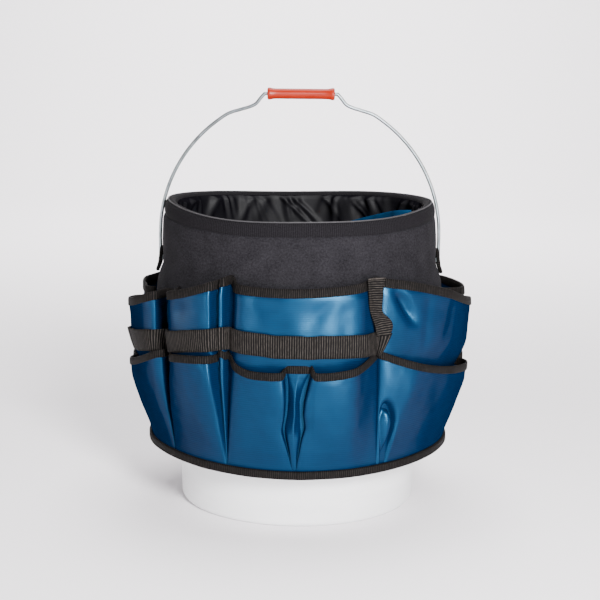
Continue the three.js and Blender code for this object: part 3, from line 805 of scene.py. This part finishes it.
def add_tail(half):
    """The strap folds back at its end, twists once and is sewn to the upper binding."""
    left = np.array([(24.5, 58.6), (25.0, 68), (25.2, 78), (25.3, 87), (26.3, 97), (27.4, 106),
                     (28.2, 114), (28.6, 122)])
    right = np.array([(32.2, 59.4), (31.9, 70), (31.4, 79), (30.2, 89), (30.4, 97), (33.6, 103),
                      (34.9, 111), (33.4, 121)])
    names = [f"upper_pocket_{half}_{i}" for i in (3, 4)]
    rows, cols = 44, 9
    t = np.linspace(0, 1, rows)
    lines = [bspline(left * (1 - s) + right * s, rows) for s in np.linspace(0, 1, cols)]
    grid = np.array(lines).transpose(1, 0, 2)
    angle, drop = grid[..., 0], grid[..., 1]
    radius = np.empty_like(angle)
    for i in range(rows):
        radius[i] = envelope(names, angle[i], RIM - drop[i].mean()) + 2.2
    radius = np.maximum(radius, radius.max(1, keepdims=True) - 4)
    radius = smooth_rows(radius, 3)
    twist = np.exp(-(((t - 0.5) / 0.13) ** 2))[:, None] * np.linspace(-3.4, 3.4, cols)[None]
    over_tape = 1.8 * np.clip(1 - t[:, None] / 0.25, 0, 1)
    over_strap = 1.6 * np.clip((t[:, None] - 0.55) / 0.3, 0, 1)
    radius = radius + twist + 1.2 + over_tape + over_strap
    points = polar(turned(angle, half), radius, RIM - drop)[::-1]
    length = arc_length(points[:, cols // 2])
    across = np.linspace(0, STRAP_WIDTH, cols)
    faces, cr, cc = grid_faces(rows, cols, False)
    uvs = np.stack([length[cr], across[cc]], -1).reshape(-1, 2)
    obj = make_object(f"strap_tail_{half}", points.reshape(-1, 3), faces.tolist(), uvs, WEB)
    thicken(obj, STRAP_THICK, 0)
    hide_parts(f"strap_tail_{half}")


for half in ("front", "back"):
    add_strap(half)
    add_tail(half)

# ---- cuff, rim, skirt and hem

AROUND = 720
ring = np.arange(AROUND) * 360.0 / AROUND


def rim_height(angle):
    """The rim isn't level: the soft cuff stands up at the sides and sags at the front and back."""
    turn = np.radians(angle)
    sides = 0.5 - 0.5 * np.cos(2 * turn)
    return -0.8 + 8.2 * sides**1.3 + 0.7 * np.sin(turn * 3 + 0.4) + 0.6 * np.sin(turn * 5 + 1.4)


def press_depth(drop):
    """The wire presses the cloth in beside the ears."""
    off = np.abs((ring + 180) % 360 - 180) - 90
    return 2.6 * np.exp(-(((drop - PIVOT_DROP) / 11) ** 2)) * np.exp(-((off / 15) ** 2))


CUFF_RADIUS = 160  # at which the cloth's texture is measured round the pail
WAVES = 28  # cells of the slow waves round the pail
SWAY_END = 60  # drop at which the rim's ups and downs have faded out


def ring_lift(drop):
    """How far the cloth is raised, by its drop, round the ring."""
    return rim_height(ring)[None] * np.clip(1 - drop / SWAY_END, 0, 1)


def ring_object(name, outline, material, thickness, wobble=0.0, seed=0, keep=None):
    """A ring of cloth from an outline of (drop, radius), with slow waves round the pail."""
    outline = np.asarray(outline, float)
    drop = outline[:, 0][:, None] + 0 * ring
    radius = outline[:, 1][:, None] + 0 * ring
    z = RIM - drop + ring_lift(drop)
    wob = noise2(ring / 360 * WAVES + 0 * z, z / 38, seed)
    back = noise2((ring / 360 - 1) * WAVES + 0 * z, z / 38, seed)
    fade = np.clip((ring - 330) / 30, 0, 1)
    wob = wob * (1 - fade) + back * fade
    radius = radius + wobble * wob - press_depth(drop)
    points = polar(ring[None] + 0 * z, radius, z)
    u = np.append(np.radians(ring), 2 * math.pi) * CUFF_RADIUS
    v = arc_length(outline)[:, None] + 0 * ring
    if keep is not None:
        keep = keep(ring[None] + 0 * z, z)
    return grid_object(name, points, material, u, v, thickness, wrap=True, keep=keep)


def hoop(name, radius, z, section, material):
    """A band of one section, once round the pail."""
    path = polar(ring, radius + 0 * ring, z)
    out = polar(ring, 1 + 0 * ring, 0.0)
    return swept(name, path, out, upward(AROUND), section, material, closed=True)


def refine(outline, step):
    """More points along an outline, on a smooth line near its own."""
    outline = np.asarray(outline, float)
    length = arc_length(outline)
    count = max(int(length[-1] / step), len(outline))
    return bspline(outline, count)


PIVOT_DROP = 63
PIVOT_Z = RIM - PIVOT_DROP
WINDOW = 13.2  # radius of the openings round the ears


def not_window(angle, z):
    """Everywhere on the cuff but the two round openings at the ears."""
    a = np.radians(angle)
    y = -161 * np.cos(a)
    return ~((np.hypot(y, z - PIVOT_Z) < WINDOW) & (np.abs(np.sin(a)) > 0.9))


cuff_line = refine([(112, 168.3), (100, 168), (88, 167), (78, 165), (68, 162.5), (56, 160.8),
                    (44, 160.2), (30, 159.6), (20, 159.2), (16, 158.4), (14.2, 156.8),
                    (13.5, 155.5)], 2.2)
cuff = ring_object("outer_cuff", cuff_line, CUFF, thickness=2.4, wobble=0.9, seed=3, keep=not_window)
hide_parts("outer_cuff")

rim_line = refine([(15.5, 156.4), (14, 157.6), (9, 158.1), (4, 157.4), (0.6, 155.8), (-0.9, 153.2),
                   (-1.2, 150.2), (-0.5, 147.4), (1.2, 145.2), (3.4, 144.0), (5.5, 143.6)], 1.0)
rim = ring_object("rim_binding", rim_line, RIM_CLOTH, thickness=2.0, wobble=0.5, seed=8)
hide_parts("rim_binding")

piping = hoop("rim_piping", 153.6, RIM + 1.0 + rim_height(ring), circle(0.8, 8), THREAD)

for side, label in ((-1, "left"), (1, "right")):
    turn = np.linspace(0, 2 * math.pi, 72, endpoint=False)
    y, dz = WINDOW * np.cos(turn), WINDOW * np.sin(turn)
    radius = skirt_radius(RIM - (PIVOT_Z + dz)) + 0.9
    path = np.stack([side * np.sqrt(radius**2 - y**2), y, PIVOT_Z + dz], -1)
    out = np.stack([0 * turn + side, 0 * turn, 0 * turn], -1)
    away = np.stack([0 * turn, np.cos(turn), np.sin(turn)], -1)
    name = f"ear_window_binding_{label}"
    band = swept(name, path, out, away, rounded(4.2, 4.0, 1.5), TAPE, closed=True)
    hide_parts(name)

skirt_line = [(d, skirt_radius(d)) for d in np.linspace(272, 111, 60)]
skirt = ring_object("skirt_backing", skirt_line, CUFF, thickness=1.2)
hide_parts("skirt_backing")

hem_radius = 174.6 + 0.5 * noise2(ring / 9, ring * 0, 21)
hem_z = RIM - hem_drop(ring) + 4.4
hem = hoop("hem_binding", hem_radius, hem_z, rounded(5.2, 9.4, 1.9), TAPE)
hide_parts("hem_binding")

# ---- lining and inner pockets

LINING_TOP, LINING_END = 2.6, 246  # drops
GATHERS = 90
DEEPEST = 8.5  # how far a gather can stand in from the wall


def add_lining():
    """Thin cloth gathered under the rim: each gather is a soft rib that fades as it runs down."""
    rng = np.random.default_rng(17)
    fine_rows = np.linspace(LINING_TOP, 90, 80, endpoint=False)
    drop = np.concatenate([fine_rows, np.linspace(90, LINING_END, 40)])[:, None] + 0 * ring
    height = np.zeros_like(drop)
    for _ in range(GATHERS):
        centre = rng.uniform(0, 360)
        slope = rng.normal(0, 0.2)
        width = rng.uniform(1.3, 3.0)
        length = rng.uniform(22, 62)
        size = rng.uniform(2.2, 5.5)
        bend = rng.normal(0, 1.8)
        middle = centre + slope * (drop - 10) + bend * np.sin((drop - 10) / 22)
        off = (ring - middle + 180) % 360 - 180
        fade = np.clip(1.15 - (drop - 6) / length, 0, 1) * np.clip((drop - 2.2) / 5, 0, 1)
        height = height + size * fade * np.exp(-((off / (width * (1 + (drop - 10) / 90))) ** 2))
    big = (ring - (158 - 0.12 * (drop - 10)) + 180) % 360 - 180
    big_fade = np.clip((drop - 2.2) / 8, 0, 1) * np.clip((150 - drop) / 90, 0, 1)
    height = height + 9 * np.exp(-((big / 3.4) ** 2)) * big_fade
    height = DEEPEST * np.tanh(height / DEEPEST)
    wall = 142.4 - (drop - 3) * 0.019 - 0.9 * np.clip((drop - 3) / 4, 0, 1)
    radius = wall - height
    z = RIM - drop + ring_lift(drop)
    points = polar(ring[None] + 0 * z, radius, z)[::-1]
    u = np.append(np.radians(ring), 2 * math.pi) * 140
    obj = grid_object("inner_liner", points, LINING, u, z[::-1], thickness=0.5, wrap=True, offset=0)
    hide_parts("inner_liner")
    return obj


lining = add_lining()
liner_hem = hoop("liner_hem", 136.4, RIM - 244, rounded(2.4, 8, 1.0), TAPE)
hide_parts("liner_hem")

INNER_BOTTOM = 212  # drop of the inner pockets' lower edge
INNER_INSET = 0.8  # degrees between a pocket and its seam

# name, first and last angle, drop of the mouth, how far it stands in from the lining
INNER = [
    ("inner_pocket_front", -25, 45, 52, 16),
    ("inner_pocket_right", 45, 100, 46, 17),
    ("inner_sleeve_back_right", 100, 155, 20, 19),
    ("inner_pocket_back", 155, 215, 46, 17),
    ("inner_pocket_back_left", 215, 275, 46, 17),
    ("inner_pocket_front_left", 275, 335, 52, 16),
]
for index, (name, start, stop, top_drop, deep) in enumerate(INNER):
    rows, cols = 44, 90
    up = np.linspace(0, 1, rows)[:, None]
    s = (1 - np.cos(np.pi * np.linspace(0, 1, cols)))[None] / 2
    angle = start + INNER_INSET + s * (stop - start - 2 * INNER_INSET)
    swell = deep * np.minimum(up * 1.25, 1) * (1 - np.abs(2 * s - 1) ** 4) ** 0.7
    sag = 3.5 * np.sin(np.pi * s)
    slope = 28 * s**1.8 - 9 if name == "inner_sleeve_back_right" else 0 * s  # its mouth runs down
    z = (RIM - INNER_BOTTOM) + up * (INNER_BOTTOM - top_drop - slope) - sag * up
    crease = 0.8 * noise2(angle / 6, z / 30, 90 + index) + 0.9 * noise2(angle / 14, z / 60, 95 + index)
    radius = 139.0 - (RIM - z) * 0.019 - 1.5 - swell - crease * np.minimum(swell / 5, 1)
    points = polar(angle + 0 * z, radius, z)
    u = arc_length(points[rows // 2])
    obj = grid_object(name, points, BLUE_INSIDE, u, z, thickness=PANEL_THICK, offset=0)
    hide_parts(name)
    edge, out = points[-1], edge_frames(points[-1])
    band = swept(name + "_edge", edge, out, upward(cols), rounded(2.6, 9, 1.2), BLUE_INSIDE)

# ---- bucket, bail and grip

FOOT_RADIUS = 138.5
BUCKET_TOP = 343
WALL = 2.4


def bucket_radius(z):
    """The pail's slightly tapered outside."""
    return np.interp(z, [6, BUCKET_TOP], [FOOT_RADIUS, 147])


def bucket_rib(drop, radius, height):
    """A reinforcing ring on the outside, from its lower edge up."""
    z = RIM - drop
    low, high = z - height / 2, z + height / 2
    return [(bucket_radius(low - 1), low - 1), (radius - 0.6, low), (radius, low + 0.7),
            (radius, high - 0.7), (radius - 0.6, high), (bucket_radius(high + 1), high + 1)]


def bucket_outline():
    """The pail's section: base in its foot ring, outside with ribs, rolled lip, inside."""
    turns = np.linspace(0, math.pi / 2, 9)
    corner = [(FOOT_RADIUS - 7 * (1 - math.sin(t)), 7 * (1 - math.cos(t))) for t in turns]
    base = [(0, 3), (121, 3), (122.4, 2.6), (124, 0.4), (125, 0)]
    lip = [(bucket_radius(329), 329), (151.6, 330), (152.5, 331), (152.5, 341), (151.8, 342.6),
           (150.2, BUCKET_TOP), (146, BUCKET_TOP), (144.8, 342.4), (144.6, 341)]
    inside = [(bucket_radius(12) - WALL, 12), (134.6, 8), (132, 6), (128, 5.5), (0, 5.5)]
    return [*base, *corner, *bucket_rib(84, 151, 4), *bucket_rib(34, 151.5, 4), *lip, *inside]


bucket = lathe("bucket_shell", bucket_outline(), BUCKET, 256)
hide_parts("bucket_shell")

boss_outline = [(2.6, 146), (9.5, 146), (9.5, 156.8), (9.2, 157.6), (8.4, 158), (3.6, 158),
                (3.0, 157.7), (2.6, 157)]
for side, label in ((-1, "left"), (1, "right")):
    place = Matrix.Translation((0, 0, PIVOT_Z)) @ Matrix.Rotation(side * math.pi / 2, 4, "Y")
    boss = lathe(f"ear_boss_{label}", boss_outline, BUCKET, 48, matrix=place)


def catmull(points, per):
    """A smooth line through points, with this many steps between each two."""
    p = np.asarray(points, float)
    p = np.vstack([2 * p[:1] - p[1:2], p, 2 * p[-1:] - p[-2:-1]])
    out = []
    for i in range(1, len(p) - 2):
        for t in np.linspace(0, 1, per, endpoint=False):
            a, b, c, d = p[i - 1 : i + 3]
            square, cube = 2 * a - 5 * b + 4 * c - d, 3 * b - a - 3 * c + d
            out.append(0.5 * (2 * b + (c - a) * t + square * t**2 + cube * t**3))
    out.append(p[-2])
    return np.array(out)


BAIL_RISE = 130.5  # of the grip's centre line over the rim
WIRE_RADIUS = 2


def bail_half():
    """(x, height over the rim) from the grip's middle down to the hook in the ear."""
    leg, rise, arc, pivot = 163.5, BAIL_RISE, 33, -PIVOT_DROP
    points = [(0, rise), (20, rise), (40, rise), (43, rise - 1), (47, rise - 5.5), (52.5, rise - 12),
              (60, rise - 15.6), (70, rise - 18.6)]
    for i in range(11):
        turn = math.radians(31 + 5.9 * i)
        points.append((leg * math.sin(turn), leg * math.cos(turn) - arc))
    points.append((leg, (pivot + 5 - arc) / 2))
    for turn in np.radians([0, 18, 36, 54, 72, 90]):
        points.append((leg - 5 * (1 - math.cos(turn)), pivot + 5 * (1 - math.sin(turn))))
    points.append((150.5, pivot))
    return points


half_wire = bail_half()
wire_points = [(-x, z) for x, z in reversed(half_wire[1:])] + half_wire
wire = catmull([(x, 0, RIM + z) for x, z in wire_points], 7)
tangent = np.gradient(wire, axis=0)
tangent /= np.linalg.norm(tangent, axis=1, keepdims=True)
side_way = np.tile([0.0, 1, 0], (len(wire), 1))
lift_way = np.cross(tangent, side_way)
round_section = circle(WIRE_RADIUS, 18)[::-1]
bail = swept("bail_wire", wire, side_way, lift_way, round_section, WIRE, body="bail")
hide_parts("bail_wire")

# (radius, distance from the middle) of the grip's outside, from its end
grip_half = [(2.5, 39), (5.4, 39), (6.4, 38.6), (7.0, 37.8), (7.1, 36.4), (6.9, 35), (6.5, 33.6),
             (6.15, 31.6), (6.0, 28), (6.0, 14), (6.05, 0)]
grip_outline = [(r, -z) for r, z in grip_half] + [(r, z) for r, z in reversed(grip_half[:-1])]
turn_grip = Matrix.Translation((0, 0, RIM + BAIL_RISE)) @ Matrix.Rotation(math.pi / 2, 4, "Y")
grip = lathe("bail_grip", grip_outline, GRIP, 64, body="grip", matrix=turn_grip)
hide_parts("bail_grip")

# ---- stage

# A floor that curves up into a backdrop, in metres: (depth, height).
BEND_START, BEND = 2.8, 1.5
bend_turns = np.linspace(0.1, math.pi / 2, 12)
sweep_line = [(-12, 0), (-4, 0), (BEND_START, 0)]
sweep_line += [(BEND_START + BEND * math.sin(t), BEND - BEND * math.cos(t)) for t in bend_turns]
sweep_line.append((BEND_START + BEND, 6))
sweep_points = np.array([[(x / MM, y / MM, z / MM) for x in (-12, 12)] for y, z in sweep_line])
floor_nodes = Nodes("floor_paper")
floor_paper = floor_nodes.finish(Base_Color=rgb(0.93, 0.895, 0.92), Roughness=0.8, Specular_IOR_Level=0.15)
floor_faces, _, _ = grid_faces(len(sweep_line), 2, False)
floor = make_object("floor", sweep_points.reshape(-1, 3), floor_faces.tolist(), None, floor_paper, body=None)

scene = bpy.context.scene
world = bpy.data.worlds.new("studio")
scene.world = world
world.use_nodes = True
background = world.node_tree.nodes["Background"]
background.inputs["Color"].default_value = (1.0, 0.985, 1.0, 1)
background.inputs["Strength"].default_value = 0.12


def area_light(name, location, target, size, power, size_y=None):
    """A soft white light, square unless it has its own height; metres and watts."""
    data = bpy.data.lights.new(name, "AREA")
    data.energy = power
    data.size = size
    if size_y:
        data.shape = "RECTANGLE"
        data.size_y = size_y
    obj = bpy.data.objects.new(name, data)
    obj.location = location
    obj.rotation_euler = (Vector(target) - Vector(location)).to_track_quat("-Z", "Y").to_euler()
    scene.collection.objects.link(obj)


area_light("key", (0.5, -1.85, 1.0), (0, 0, 0.22), 0.4, 95)
area_light("strip", (0.9, -2.05, 0.35), (0, 0, 0.2), 0.3, 75, size_y=1.0)
area_light("left", (-1.5, -1.6, 0.3), (0, 0, 0.22), 0.45, 16, size_y=0.6)
area_light("side", (-1.9, -0.25, 0.12), (-0.15, -0.1, 0.27), 0.9, 14, size_y=0.35)
area_light("top", (0.1, 0.5, 2.4), (0, 0.1, 0.1), 1.5, 85)
area_light("backdrop", (0.0, 2.0, 2.4), (0, 4.3, 0.9), 2.0, 230)

camera_data = bpy.data.cameras.new("camera")
camera_data.lens = 92.7
camera_data.sensor_width = 36
camera_data.clip_end = 200
camera = bpy.data.objects.new("camera", camera_data)
DISTANCE, OVER_RIM = 1.8, 0.223  # metres, from the pail's axis and over its rim
TILT, ROLL = 0.184, math.radians(0.6)
camera.location = (0.0012, -DISTANCE, RIM * MM + OVER_RIM)
look = Matrix.Rotation(math.pi / 2 - TILT, 4, "X") @ Matrix.Rotation(ROLL, 4, "Z")
camera.rotation_euler = look.to_euler()
scene.collection.objects.link(camera)
scene.camera = camera
